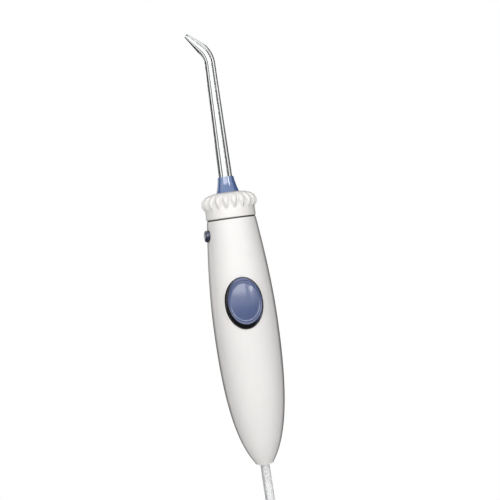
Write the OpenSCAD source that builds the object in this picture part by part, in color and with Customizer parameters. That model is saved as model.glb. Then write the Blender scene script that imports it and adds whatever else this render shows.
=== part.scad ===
// Hand piece of a countertop water flosser: a tapered two-shell handle with a turning
// collar, a clear bent jet tip that plugs in and is let go by a side button, a pause valve
// under an oval thumb button, and the hose that feeds it, folded into a tied hank.
// Units are millimetres. +Z runs up the handle to the jet tip, -Y is the thumb button's side,
// and the origin is on the handle's axis at the middle of the grip.

/* [Handle shell] */
// Length of the two shells along the axis
shell_length = 137.5; // [120:0.5:165]
// Height of the grip's middle above the lower end
grip_height = 70; // [60:0.5:84]
// Outside radius at the upper end
shell_top_r = 13.7; // [13.3:0.1:16]
// Outside radius at the widest place
belly_r = 18.1; // [17:0.1:22]
// Height of the widest place above the grip's middle
belly_z = 6; // [0:0.5:12]
// Outside radius at the lower end
shell_end_r = 4.8; // [4.4:0.1:6]
// Wall thickness of the shells
wall = 2.0; // [1.6:0.1:2.4]

/* [Collar] */
// Height of the turning collar
collar_h = 14.4; // [12:0.1:18]
// Outside radius of the fluted crown
crown_r = 15.7; // [15.2:0.1:19]
// Outside radius of the plain skirt under the crown
collar_skirt_r = 13.9; // [13.5:0.1:14.5]
// Number of flutes round the crown
flute_count = 20; // [12:1:28]
// Depth of each flute below the crown
flute_depth = 2.3; // [1:0.1:2.6]

/* [Jet tip] */
// Height from the collar's top to the corner of the bend
tip_rise = 77; // [60:0.5:95]
// Length from the corner of the bend to the nozzle's end
tip_leg = 16.2; // [13:0.1:22]
// Angle of the bend
bend_angle = 43; // [20:1:60]
// Centreline radius of the bend
bend_r = 13; // [9:0.5:15]
// Outside radius at the tip's foot
tip_foot_r = 3.9; // [3.7:0.05:4.6]
// Outside radius at the bend
tip_bend_r = 3.0; // [2.6:0.05:3.5]
// Outside radius at the nozzle's end
tip_end_r = 1.25; // [0.9:0.05:1.8]
// Radius of the water channel at the foot
channel_r = 1.7; // [1.2:0.05:1.9]
// Radius of the jet orifice
orifice_r = 0.5; // [0.35:0.05:0.7]
// Depth that the stem goes into the handle
stem_depth = 34; // [32:0.5:38]
// Outside radius of the stem
stem_r = 3.1; // [2.8:0.05:3.7]
// Height of the coloured foot of the jet tip
foot_h = 8.6; // [6:0.1:12]
// Outside radius of the coloured foot where it meets the collar
foot_base_r = 6.5; // [6.2:0.1:8]
// Thickness of the coloured foot at its upper end
foot_wall = 0.6; // [0.3:0.05:0.9]

/* [Pause button] */
// Width of the oval thumb button
pause_w = 20.2; // [16:0.1:21]
// Height of the oval thumb button
pause_h = 27.6; // [24:0.1:31]
// Height of the button's middle above the grip's middle
pause_z = 21.6; // [17:0.1:25]
// How far the button's middle stands out of the shell
pause_proud = 1.2; // [0.6:0.1:2]
// Travel of the button
pause_travel = 2.4; // [1.8:0.1:2.6]

/* [Eject button] */
// Diameter of the round side button
eject_d = 6.6; // [5:0.1:8]
// Drop from the shell's upper end to the button's middle
eject_drop = 7.8; // [7:0.1:9]
// Angle from the thumb button's side round to the eject button
eject_angle = 75; // [60:1:105]
// How far the button stands out of the shell
eject_proud = 2.8; // [1.8:0.1:4]
// Travel of the button
eject_travel = 1.6; // [1:0.1:1.8]

/* [Valve] */
// Radius of the valve body's upright column
column_r = 7; // [6.6:0.1:8]
// Radius of the cross bore for the spool
spool_bore_r = 3.5; // [3:0.1:4]
// Radius of the water channel through the valve body
water_r = 1.0; // [0.8:0.05:1.1]

/* [Hose] */
// Outside diameter of the hose
hose_d = 5.2; // [4.3:0.1:5.6]
// Bore of the hose
hose_bore = 3.0; // [2.6:0.1:3.2]

/* [Fits] */
// Gap between parts that slide or turn on each other
run_gap = 0.1; // [0.05:0.01:0.15]
// Gap between parts that are pressed or trapped together
seat_gap = 0.05; // [0:0.01:0.1]
// Gap between a button and the edge of its window
window_gap = 0.35; // [0.2:0.05:0.5]

/* [Hidden] */

smooth = 96;           // facets of a round part, which the exact rebuild takes as a true circle
white = [0.93, 0.93, 0.92];
blue = [0.36, 0.43, 0.66];
clear = [0.85, 0.9, 0.92, 0.5];
natural = [0.82, 0.82, 0.78];
dark = [0.16, 0.16, 0.17];
steel = [0.7, 0.7, 0.72];
vinyl = [0.88, 0.89, 0.88];

// Heights along the axis, from the lower end up
bottom_z = -grip_height;
top_z = bottom_z + shell_length;
top_wall = 2;
washer_t = 0.6;
collar_z = top_z + washer_t;
collar_top = collar_z + collar_h;
flange_t = 1.8;
flange_gap = 0.3;
flange_z = top_z - top_wall - flange_gap - flange_t;
eject_z = top_z - eject_drop;
carrier_top = flange_z - flange_gap;
carrier_h = 5.6;
carrier_z = carrier_top - carrier_h;
stem_end = collar_top - stem_depth;

// Outline of the shells: two cubic curves that meet at the widest place
function bezier(a, b, c, d, t) =
    pow(1 - t, 3) * a + 3 * t * pow(1 - t, 2) * b + 3 * t * t * (1 - t) * c + pow(t, 3) * d;
curve_steps = 20;
neck_reach = 0.325 * (top_z - belly_z);
belly_reach = 0.36 * (top_z - belly_z);
flank_reach = 0.395 * (belly_z - bottom_z);
tail_reach = 0.2 * (belly_z - bottom_z);
tail_flare = 11.2;
upper = [for (i = [0:curve_steps])
    bezier([shell_top_r, top_z], [shell_top_r + 0.12 * neck_reach, top_z - neck_reach],
           [belly_r, belly_z + belly_reach], [belly_r, belly_z], i / curve_steps)];
lower = [for (i = [1:curve_steps])
    bezier([belly_r, belly_z], [belly_r, belly_z - flank_reach],
           [shell_end_r + tail_flare, bottom_z + tail_reach], [shell_end_r, bottom_z], i / curve_steps)];
outline = concat(upper, lower);
last = len(outline) - 1;
function direction(i) =
    let (d = outline[min(i + 1, last)] - outline[max(i - 1, 0)]) d / norm(d);
function inset(i, depth) = outline[i] + depth * [direction(i)[1], -direction(i)[0]];
outline_by_z = [for (i = [last:-1:0]) [outline[i][1], outline[i][0]]];
function shell_r(z) = lookup(z, outline_by_z);

// The body of revolution inside the outline, shrunk by depth, between two heights
module shell_solid(depth) {
    points = depth == 0 ? outline : [for (i = [0:last]) inset(i, depth)];
    rotate_extrude($fn = smooth)
        polygon(concat([[0, points[0][1]]], points, [[0, points[last][1]]]));
}

module slab(z0, z1) translate([-40, -40, z0]) cube([80, 80, z1 - z0]);
module front_half() intersection() { children(); translate([-50, -100, -300]) cube([100, 100, 600]); }
module rear_half() intersection() { children(); translate([-50, 0, -300]) cube([100, 100, 600]); }
module tube(r_out, r_in, z0, z1) difference() {
    translate([0, 0, z0]) cylinder(r = r_out, h = z1 - z0, $fn = smooth);
    translate([0, 0, z0 - 1]) cylinder(r = r_in, h = z1 - z0 + 2, $fn = smooth);
}
module rod(r, z0, z1) translate([0, 0, z0]) cylinder(r = r, h = z1 - z0, $fn = smooth);
module ring(mid_r, thick_r, z) translate([0, 0, z])
    rotate_extrude($fn = smooth) translate([mid_r, 0]) circle(r = thick_r, $fn = 24);
// Turns +Z to the thumb button's inward direction, with the origin on the spool's axis
module along_spool() translate([0, 0, pause_z]) rotate([-90, 0, 0]) children();
// Turns +Z to the eject button's outward direction, with the origin on the handle's axis
module along_eject() translate([0, 0, eject_z]) rotate([0, 0, 270 - eject_angle]) rotate([0, 90, 0]) children();

// A round bar swept along points that are never parallel to side, with one ring at each point
function unit(v) = v / norm(v);
function bar_rings(path, r, sides, side) = [for (i = [0:len(path) - 1])
    let (along = unit(path[min(i + 1, len(path) - 1)] - path[max(i - 1, 0)]),
         u = unit(cross(side, along)), v = cross(along, u))
    for (k = [0:sides - 1]) path[i] + r * (cos(360 * k / sides) * u + sin(360 * k / sides) * v)];
module swept_bar(path, r, sides, side) {
    rings = len(path);
    polyhedron(points = bar_rings(path, r, sides, side), faces = concat(
        [[for (k = [sides - 1:-1:0]) k]],
        [for (i = [0:rings - 2], k = [0:sides - 1])
            [i * sides + k, i * sides + (k + 1) % sides, (i + 1) * sides + (k + 1) % sides, (i + 1) * sides + k]],
        [[for (k = [0:sides - 1]) (rings - 1) * sides + k]]), convexity = 6);
}
// A compression spring on +Z with closed ends
module coil_spring(mid_r, wire_r, z0, z1, turns) {
    steps = 14;
    rise = z1 - z0 - 2 * wire_r;
    count = turns * steps;
    swept_bar([for (i = [0:count])
        [mid_r * cos(360 * i / steps), mid_r * sin(360 * i / steps),
         z0 + wire_r + rise * min(1, max(0, (i / count * turns - 0.6) / (turns - 1.2)))]], wire_r, 6, [0, 0, 1]);
}

// ---- Shells ----
rib_t = 2;
rib_heights = [carrier_z + 1, top_z - 26.5, -4, -40];
dowel_r = 1.2;
dowel_boss_r = 2.3;
dowel_length = 3;
dowel_spots = [for (z = [46.5, -30], side = [-1, 1]) [side * (shell_r(z) - wall - 1.6), z]];
pause_a = pause_w / 2;
pause_b = pause_h / 2;
oval_steps = 64;
neck_r = 7.4;
neck_hole_r = 8;
end_hole_r = 3.6;

module oval(extra) polygon([for (i = [0:oval_steps - 1])
    [(pause_a + extra) * cos(360 * i / oval_steps), (pause_b + extra) * sin(360 * i / oval_steps)]]);
// The oval as a prism that runs along Y from y0 to y1
module oval_prism(extra, y0, y1) translate([0, y1, pause_z]) rotate([90, 0, 0]) linear_extrude(y1 - y0) oval(extra);

module ribs() {
    intersection() {
        shell_solid(wall / 2);
        union() {
            difference() {
                slab(rib_heights[0], rib_heights[0] + rib_t);
                rod(carrier_r + seat_gap, -100, 100);
            }
            for (z = [rib_heights[1], rib_heights[2]]) difference() {
                slab(z, z + rib_t);
                rod(column_r + seat_gap, -100, 100);
            }
            difference() {
                slab(rib_heights[3], rib_heights[3] + rib_t);
                rod(hose_d / 2 + seat_gap, -100, 100);
            }
        }
    }
}
module dowel_bosses(y0, y1) for (s = dowel_spots)
    translate([s[0], y0, s[1]]) rotate([-90, 0, 0]) cylinder(r = dowel_boss_r, h = y1 - y0, $fn = 32);
// The two shells before they are parted, with their ribs
module whole_shell() difference() {
    union() {
        difference() {
            shell_solid(0);
            intersection() {
                shell_solid(wall);
                slab(bottom_z + floor_t, top_z - top_wall);
            }
        }
        ribs();
    }
    rod(neck_hole_r, top_z - top_wall - 1, top_z + 1);
    rod(end_hole_r, bottom_z - 1, bottom_z + floor_t + 1);
    along_eject() translate([0, 0, carrier_flat]) {
        cylinder(r = eject_d / 2 + window_gap / 2, h = 20, $fn = smooth);
        cylinder(r = eject_flange_r + window_gap, h = eject_flange_top - carrier_flat + run_gap, $fn = smooth);
    }
}
floor_t = 4;
module front_shell() color(white) difference() {
    union() {
        front_half() whole_shell();
        intersection() { shell_solid(wall / 2); dowel_bosses(-6, 0); }
    }
    oval_prism(window_gap, -40, -8);
    for (s = dowel_spots) translate([s[0], -dowel_length - 0.5, s[1]]) rotate([-90, 0, 0])
        cylinder(r = dowel_r + seat_gap, h = dowel_length + 1, $fn = 32);
}
module rear_shell() color(white) union() {
    rear_half() whole_shell();
    intersection() { shell_solid(wall / 2); dowel_bosses(0, 6); }
    for (s = dowel_spots) translate([s[0], -dowel_length, s[1]]) rotate([-90, 0, 0])
        cylinder(r = dowel_r, h = dowel_length + 0.5, $fn = 32);
}

// ---- Valve body, under the ribs, with the hose barb below and the stem's socket above ----
column_bottom = -8;
barb_length = 14;
barb_r = hose_bore / 2;
socket_r = stem_r + run_gap;
seal_wire_r = 0.6;
gland_h = 1.5;
retainer_h = 2.6;
retainer_r = 6;
gland_z = carrier_z - retainer_h - gland_h;
socket_floor = stem_end - 0.3;
cross_r = 5.6;
cross_front = -8.5;
cross_back = 10;
module valve_body() color(natural) difference() {
    union() {
        rod(column_r, column_bottom, carrier_z);
        along_spool() translate([0, 0, cross_front]) cylinder(r = cross_r, h = cross_back - cross_front, $fn = smooth);
        rod(barb_r, column_bottom - barb_length, column_bottom);
        for (i = [0:2]) translate([0, 0, column_bottom - barb_length + 1 + 3.4 * i])
            cylinder(r1 = barb_r, r2 = barb_r + 0.35, h = 2, $fn = 48);
    }
    along_spool() translate([0, 0, cross_front - 1])
        cylinder(r = spool_bore_r, h = cross_back - cross_front + 2, $fn = smooth);
    rod(water_r, column_bottom - barb_length - 1, socket_floor + 1);
    rod(socket_r, socket_floor, gland_z + 1);
    rod(seal_mid_r + seal_wire_r, gland_z, carrier_z - retainer_h + 0.01);
    rod(retainer_r, carrier_z - retainer_h, carrier_z + 1);
}
seal_mid_r = stem_r + seat_gap + seal_wire_r;
module socket_o_ring() color(dark) ring(seal_mid_r, seal_wire_r - 0.01, gland_z + gland_h / 2);
module socket_retainer() color(natural) tube(retainer_r - seat_gap, socket_r, carrier_z - retainer_h, carrier_z);
cap_plug = 1;
cap_flange = 1.5;
module valve_cap() color(natural) along_spool() {
    translate([0, 0, cross_back - cap_plug]) cylinder(r = spool_bore_r - seat_gap, h = cap_plug, $fn = smooth);
    translate([0, 0, cross_back]) cylinder(r = cross_r - 0.6, h = cap_flange, $fn = smooth);
}

// ---- Pause button, its spool and its spring ----
button_face_r = 26;    // the face is flatter than the shell round it, and leans as the shell does there
button_lean = atan((shell_r(pause_z - pause_b) - shell_r(pause_z + pause_b)) / pause_h);
button_mid_r = shell_r(pause_z) + pause_proud;
face_y = button_face_r - button_mid_r;
button_back = -11.8;
button_skin = 2;
button_roof = button_mid_r - button_skin - 0.8;
tab_w = 7;
tab_reach = 2.6;
tab_t = 1.3;
// Front of a snap tab, which rests behind the window's edge at height z
function tab_front(z) = -(shell_r(z) - wall - 0.9);
spool_r = spool_bore_r - run_gap;
spool_head = button_back + 0.2;
spool_back = 4.6;
waist = 1.15;
spool_seal_r = 0.5;
spool_seal_spots = [-4.6, 3];
module pause_button() color(blue) {
    difference() {
        intersection() {
            oval_prism(0, -40, button_back);
            translate([0, 0, pause_z]) rotate([-button_lean, 0, 0]) translate([0, face_y, -40])
                cylinder(r = button_face_r, h = 80, $fn = smooth);
        }
        oval_prism(-button_skin, -button_roof, button_back + 1);
    }
    along_spool() translate([0, 0, -button_roof - 0.5]) cylinder(r = 2.4, h = button_roof + 0.5 + spool_head, $fn = 48);
    for (side = [-1, 1]) translate([-tab_w / 2, tab_front(pause_z + side * (pause_b + tab_reach)),
                                    pause_z + side * (pause_b - 0.6) - (side < 0 ? tab_reach : 0)])
        cube([tab_w, tab_t, tab_reach]);
}
module valve_spool() color(natural) along_spool() difference() {
    union() {
        translate([0, 0, spool_head]) cylinder(r = 2, h = spool_back - spool_head, $fn = 48);
        translate([0, 0, -7]) cylinder(r = spool_r, h = 7 - waist, $fn = smooth);
        translate([0, 0, waist]) cylinder(r = spool_r, h = spool_back - waist, $fn = smooth);
    }
    for (y = spool_seal_spots) translate([0, 0, y - 0.65]) difference() {
        cylinder(r = spool_bore_r + 1, h = 1.3, $fn = 48);
        translate([0, 0, -1]) cylinder(r = spool_bore_r - 2 * spool_seal_r - run_gap, h = 4, $fn = 48);
    }
}
module spool_o_rings() color(dark) along_spool() for (y = spool_seal_spots)
    ring(spool_bore_r - seat_gap - spool_seal_r, spool_seal_r - 0.01, y);
module pause_spring() color(steel) along_spool()
    coil_spring(2.5, 0.2, spool_back + 0.05, cross_back - cap_plug - 0.05, 4);

// ---- Eject button and the spring catch that holds the stem ----
carrier_r = 9.6;
carrier_slot_h = 2.4;
catch_wire_r = 0.4;
groove_r = stem_r - 0.6;
catch_side = groove_r + 0.1 + catch_wire_r;
wedge_h = 1.2;
wall_in = stem_r + 0.3 + eject_travel + wedge_h;
spring_seat = wall_in + 0.6;
eject_stem_r = 1.5;
eject_flange_r = 4.3;
eject_flange_t = 1;
eject_face = shell_r(eject_z) + eject_proud;
eject_flange_top = sqrt(pow(shell_r(eject_z) - wall, 2) - pow(eject_flange_r, 2)) - 0.3;
carrier_flat = eject_flange_top - eject_flange_t - eject_travel - 0.3;
module catch_carrier() color(natural) difference() {
    rod(carrier_r, carrier_z, carrier_top);
    rod(stem_r + 0.3, carrier_z - 1, carrier_top + 1);
    along_eject() {
        translate([-carrier_slot_h / 2, -catch_side - 1.2, -catch_side - 4.2])
            cube([carrier_slot_h, 2 * catch_side + 2.4, catch_side + 4.2 + wall_in]);
        translate([0, 0, 2]) cylinder(r = eject_stem_r + run_gap, h = 12, $fn = 48);
        translate([0, 0, spring_seat]) cylinder(r = 2.75, h = 12, $fn = 48);
        translate([-8, -5, carrier_flat]) cube([16, 10, 5]);
    }
}
catch_tip = wall_in - 1.3;
catch_leg = [[0, catch_side, -2.6], [0, catch_side, 0], [0, catch_side, catch_tip - 2.5],
             [0, 0.77 * catch_side, catch_tip - 1], [0, 0.57 * catch_side, catch_tip]];
catch_path = concat(
    [for (i = [4:-1:0]) catch_leg[i]],
    [for (a = [15:15:165]) [0, catch_side * cos(a), -2.9 - catch_side * sin(a)]],
    [for (i = [0:4]) [0, -catch_leg[i][1], catch_leg[i][2]]]);
module tip_catch() color(steel) along_eject() swept_bar(catch_path, catch_wire_r, 8, [1, 0, 0]);
module eject_spring() color(steel) along_eject()
    coil_spring(2.25, 0.15, spring_seat + 0.05, eject_flange_top - eject_flange_t - 0.05, 4);
module eject_button() color(blue) along_eject() {
    translate([0, 0, eject_flange_top - 0.2]) cylinder(r = eject_d / 2, h = eject_face - 0.8 - eject_flange_top + 0.2, $fn = smooth);
    translate([0, 0, eject_face - 0.8]) cylinder(r1 = eject_d / 2, r2 = eject_d / 2 - 0.8, h = 0.8, $fn = smooth);
    difference() {
        translate([0, 0, eject_flange_top - eject_flange_t]) cylinder(r = eject_flange_r, h = eject_flange_t, $fn = smooth);
        translate([-9 - (carrier_top - eject_z), -6, 0]) cube([9, 12, 20]);
    }
    translate([0, 0, wall_in]) cylinder(r = eject_stem_r, h = eject_flange_top - wall_in, $fn = 48);
    translate([0, 0, wall_in - wedge_h]) cylinder(r1 = 0.8, r2 = eject_stem_r, h = wedge_h, $fn = 48);
}

// ---- Turning collar and what turns with it ----
flange_r = 9.2;
hex_r = 6;
hex_depth = 3;
receiver_top = collar_top - hex_depth - 1;
neck_seal_r = 0.7;
module collar_washer() color(dark) tube(collar_skirt_r - 0.5, neck_hole_r + 0.6, top_z, collar_z - run_gap);
module tip_receiver() color(natural) difference() {
    union() {
        rod(flange_r, flange_z, flange_z + flange_t);
        rod(neck_r, flange_z, receiver_top);
    }
    rod(stem_r + 0.2, flange_z - 1, receiver_top + 1);
    translate([0, 0, top_z - top_wall / 2]) difference() {
        translate([0, 0, -0.85]) cylinder(r = neck_r + 1, h = 1.7, $fn = 48);
        translate([0, 0, -2]) cylinder(r = neck_hole_r - seat_gap - 2 * neck_seal_r, h = 4, $fn = 48);
    }
}
module neck_o_ring() color(dark) ring(neck_hole_r - seat_gap - neck_seal_r, neck_seal_r - 0.01, top_z - top_wall / 2);
crown_low = 0.55 * collar_h;
skirt_top = 0.28 * collar_h;
flute_low = skirt_top + 0.5;
collar_hollow = 0.35 * collar_h;
collar_shoulder = [for (i = [0:8]) bezier([crown_r, crown_low], [crown_r - 0.2, crown_low + 0.3 * collar_h],
    [crown_r - 2.6, collar_h - 0.2], [foot_base_r + 1.6, collar_h], i / 8)];
module turning_collar() color(white) translate([0, 0, collar_z]) difference() {
    rotate_extrude($fn = smooth) polygon(concat(
        [[0, 0], [collar_skirt_r - 0.4, 0], [collar_skirt_r, 0.4], [collar_skirt_r - 0.3, skirt_top],
         [crown_r - 0.5, crown_low - 0.6]],
        collar_shoulder, [[0, collar_h]]));
    for (i = [0:flute_count - 1]) rotate([0, 0, 360 / flute_count * (i + 0.5)]) translate([0, 0, flute_low])
        linear_extrude(collar_h) polygon([[crown_r - flute_depth, 0], [crown_r + 0.6, -1.3], [crown_r + 0.6, 1.3]]);
    rod(collar_skirt_r - 2, -1, collar_hollow);
    rod(neck_r + seat_gap, -1, receiver_top + seat_gap - collar_z);
    translate([0, 0, collar_h - hex_depth - 1.1]) cylinder(r = hex_r + 0.12, h = hex_depth + 3, $fn = 6);
}

// ---- Jet tip: stem, tapered tube, bend and nozzle ----
bend_tangent = bend_r * tan(bend_angle / 2);
straight_top = collar_top + tip_rise - bend_tangent;
leg_length = tip_leg - bend_tangent;
bend_channel_r = 0.7 * channel_r;
orifice_land = 1.6;    // straight length of the channel at the nozzle's end
bend_lap = 0.4;        // how far each straight length runs into the bend
bend_swell = 0.03;     // how much fatter the bend is, so that the laps lie inside it
groove_h = 1.3;
module turned(points) rotate_extrude($fn = smooth) polygon(points);
// A round bent bar: an upright length with the given outline, the bend, and a leg that tapers to its end
module bent_bar(upright, bend, end, land, over) {
    turned(concat(upright, [[bend, straight_top], [bend, straight_top + bend_lap], [0, straight_top + bend_lap]]));
    translate([-bend_r, 0, straight_top]) rotate([90, 0, 0])
        rotate_extrude(angle = bend_angle, $fn = smooth) translate([bend_r, 0]) circle(r = bend + bend_swell, $fn = 48);
    translate([-bend_r, 0, straight_top]) rotate([0, -bend_angle, 0]) translate([bend_r, 0, 0])
        turned([[0, -bend_lap], [bend, -bend_lap], [bend, 0], [end, leg_length - land], [end, leg_length + over],
                [0, leg_length + over]]);
}
module jet_tip() color(clear) difference() {
    bent_bar([[0, stem_end], [stem_r - 0.4, stem_end], [stem_r, stem_end + 0.6], [stem_r, eject_z - groove_h / 2],
              [groove_r, eject_z - groove_h / 2], [groove_r, eject_z + groove_h / 2], [stem_r, eject_z + groove_h / 2],
              [stem_r, collar_top], [tip_foot_r, collar_top]], tip_bend_r, tip_end_r, 0.3, 0);
    bent_bar([[0, stem_end - 1], [channel_r, stem_end - 1], [channel_r, collar_top]],
             bend_channel_r, orifice_r, orifice_land, 1);
}
foot_steps = 8;
foot_outline = [for (i = [0:foot_steps]) bezier([foot_base_r, collar_top], [foot_base_r - 0.8, collar_top + 2.4],
    [tip_foot_r + foot_wall + 0.35, collar_top + 0.6 * foot_h], [tip_foot_r + foot_wall, collar_top + foot_h],
    i / foot_steps)];
module jet_tip_foot() color(blue) difference() {
    union() {
        rotate_extrude($fn = smooth) polygon(concat([[0, collar_top]], foot_outline, [[0, collar_top + foot_h]]));
        translate([0, 0, collar_top - hex_depth]) cylinder(r = hex_r, h = hex_depth + 0.5, $fn = 6);
    }
    rod(stem_r + 0.02, collar_top - hex_depth - 1, collar_top);
    rod(tip_foot_r + 0.02, collar_top, collar_top + foot_h + 1);
}

// ---- Hose, as it hangs: out of the end, into a hank of upright turns, and down to its connector ----
hose_r = hose_d / 2;
clamp_gap = 0.02;
clamp_r = hose_r + clamp_gap + 0.8;
inner_hose_top = column_bottom - 1;
module inner_hose() color(vinyl) tube(hose_r, hose_bore / 2, bottom_z, inner_hose_top);
module hose_clamp() color(steel) tube(clamp_r, hose_r + clamp_gap, column_bottom - barb_length + 2, column_bottom - 4);
module hose_grommet() color(dark) difference() {
    union() {
        rod(end_hole_r - seat_gap, bottom_z, bottom_z + floor_t + 0.5);
        rod(end_hole_r + 0.8, bottom_z + floor_t + seat_gap, bottom_z + floor_t + 2);
    }
    rod(hose_r + clamp_gap, bottom_z - 1, bottom_z + floor_t + 3);
}
// Centre of the free hose, from where it leaves the handle to where it joins the hank
lead_route = [[0, 0, 0], [0, 0, -6], [0, -0.5, -11], [0, -2.2, -16], [0, -5.3, -21], [0, -8.4, -26],
    [0, -10.1, -31], [0.6, -10.6, -36], [2.3, -10.6, -41], [4.9, -10.6, -45], [8, -10.6, -48.5],
    [11.1, -10.6, -52], [13.7, -10.6, -56], [15.4, -10.6, -61], [16, -10.6, -68]];
hank_r = 16;
hank_high = -68;
hank_low = -140;
layer = hose_d + 0.1;
turns = 4;
tail_end = -168;
hank_depth = turns * layer + hose_d;
tail_spot = [hank_r, turns * layer / 2];
module at_exit() translate([0, 0, bottom_z]) children();
module hose_lead() color(vinyl) at_exit() swept_bar(lead_route, hose_r, 12, [0, 1, 0]);
module hose_hank() color(vinyl) at_exit() translate([0, hank_depth / 2, 0]) rotate([90, 0, 0]) linear_extrude(hank_depth) {
    difference() {
        hank_outline(hank_r + hose_r);
        hank_outline(hank_r - hose_r);
    }
}
module hank_outline(r) {
    translate([0, hank_high]) circle(r = r, $fn = smooth);
    translate([0, hank_low]) circle(r = r, $fn = smooth);
    translate([-r, hank_low]) square([2 * r, hank_high - hank_low]);
}
module hose_tail() color(vinyl) at_exit() translate([tail_spot[0], tail_spot[1], 0])
    tube(hose_r, hose_bore / 2, tail_end, hank_low - 4);
tie_h = 10;
tie_t = 1.1;
tie_z = (hank_high + hank_low) / 2;
module tie_outline(grow) square([2 * (hank_r + hose_r + grow), hank_depth + 2 * grow], center = true);
module hose_tie() color(blue) at_exit() translate([0, 0, tie_z - tie_h / 2]) linear_extrude(tie_h) difference() {
    tie_outline(tie_t + seat_gap);
    tie_outline(seat_gap);
}
elbow_r = 4.6;
elbow_drop = 9;
elbow_reach = 7.6;
hose_seat = 9;
spigot_r = 3;
spigot_length = 11;
seal_seat = 2;         // between the elbow's shoulder and the plain spigot
connector_wire_r = 0.8;
module at_connector() at_exit() translate([tail_spot[0], tail_spot[1], tail_end]) children();
module along_spigot() at_connector() translate([0, 0, -elbow_drop / 2]) rotate([0, 90, 0]) children();
module hose_connector() color(white) difference() {
    union() {
        at_connector() rod(elbow_r, -elbow_drop, hose_seat);
        along_spigot() {
            cylinder(r = elbow_r - 0.4, h = elbow_reach, $fn = smooth);
            cylinder(r = elbow_r + 1, h = elbow_reach - 1.4, $fn = smooth);
            cylinder(r = spigot_r - 0.3, h = elbow_reach + seal_seat + 1, $fn = smooth);
            translate([0, 0, elbow_reach + seal_seat]) cylinder(r = spigot_r, h = spigot_length, $fn = smooth);
        }
    }
    at_connector() rod(hose_r + clamp_gap, 0, hose_seat + 1);
    at_connector() rod(water_r, -elbow_drop / 2, 1);
    along_spigot() cylinder(r = water_r, h = 40, $fn = 48);
}
module connector_o_ring() color(dark) along_spigot()
    ring(spigot_r - 0.3 + connector_wire_r, connector_wire_r - 0.01, elbow_reach + connector_wire_r);
module connector_ferrule() color(steel) at_connector()
    tube(elbow_r + 0.7, elbow_r + clamp_gap, hose_seat - 5, hose_seat - 0.5);

front_shell();
rear_shell();
valve_body();
valve_cap();
pause_spring();
socket_o_ring();
socket_retainer();
catch_carrier();
tip_catch();
eject_spring();
collar_washer();
inner_hose();
hose_clamp();
hose_grommet();
turning_collar();
tip_receiver();
neck_o_ring();
jet_tip();
jet_tip_foot();
pause_button();
valve_spool();
spool_o_rings();
eject_button();
hose_lead();
hose_hank();
hose_tail();
hose_tie();
hose_connector();
connector_ferrule();
connector_o_ring();
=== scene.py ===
import bmesh
import bpy
import math
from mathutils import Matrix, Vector


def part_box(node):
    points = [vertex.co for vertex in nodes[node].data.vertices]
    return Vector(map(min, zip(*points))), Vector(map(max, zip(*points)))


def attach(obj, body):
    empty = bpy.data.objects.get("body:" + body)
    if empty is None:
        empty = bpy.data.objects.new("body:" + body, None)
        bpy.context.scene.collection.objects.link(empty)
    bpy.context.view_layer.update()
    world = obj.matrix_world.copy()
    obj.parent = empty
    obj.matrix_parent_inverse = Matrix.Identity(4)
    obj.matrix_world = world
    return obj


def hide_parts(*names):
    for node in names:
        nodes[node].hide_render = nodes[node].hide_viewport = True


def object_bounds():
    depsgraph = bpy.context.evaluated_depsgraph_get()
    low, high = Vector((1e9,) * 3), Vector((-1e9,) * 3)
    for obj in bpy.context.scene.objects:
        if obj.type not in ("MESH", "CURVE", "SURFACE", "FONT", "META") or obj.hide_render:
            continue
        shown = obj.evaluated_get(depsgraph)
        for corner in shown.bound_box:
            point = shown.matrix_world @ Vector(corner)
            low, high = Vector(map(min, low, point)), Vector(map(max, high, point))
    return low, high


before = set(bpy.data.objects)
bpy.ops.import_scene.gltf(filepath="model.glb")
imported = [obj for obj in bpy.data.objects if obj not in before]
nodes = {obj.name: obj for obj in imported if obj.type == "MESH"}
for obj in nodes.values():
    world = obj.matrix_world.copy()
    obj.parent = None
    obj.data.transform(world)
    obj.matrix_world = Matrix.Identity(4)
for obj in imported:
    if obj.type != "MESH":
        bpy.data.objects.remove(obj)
cadLow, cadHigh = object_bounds()

mm = 0.001
scene = bpy.context.scene
shellLow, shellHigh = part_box("front_shell")
collarLow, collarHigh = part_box("turning_collar")
print("frame loaded")

# what the camera sees
cameraSettings = {
    "aim": (8.0 * mm, 0, 49.05 * mm),  # the point in the middle of the view
    "distance": 0.46,
    "turn": 3.6,                       # degrees round towards the eject button
    "rise": 1.2,                       # degrees above the level
    "lean": 7.83,                      # degrees that the handle leans in the view
    "sensor": 36,
    "viewWidth": 0.2789,               # metres across the view at the handle
}


def outward(turn, rise=0.0):        # degrees round from the front, towards the eject button, and up
    turn = math.radians(turn)
    rise = math.radians(rise)
    return Vector((-math.sin(turn) * math.cos(rise), -math.cos(turn) * math.cos(rise), math.sin(rise)))


def makeCamera(settings):
    bpy.ops.object.camera_add()
    camera = bpy.context.object
    back = outward(settings["turn"], settings["rise"])
    camera.location = Vector(settings["aim"]) + back * settings["distance"]
    camera.rotation_euler = (-back).to_track_quat("-Z", "Y").to_euler()
    camera.rotation_euler.rotate_axis("Z", -math.radians(settings["lean"]))
    camera.data.sensor_width = settings["sensor"]
    camera.data.lens = settings["sensor"] * settings["distance"] / settings["viewWidth"]
    camera.data.clip_start = 0.01
    camera.data.clip_end = 50
    scene.camera = camera


makeCamera(cameraSettings)
print("camera placed")

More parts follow.
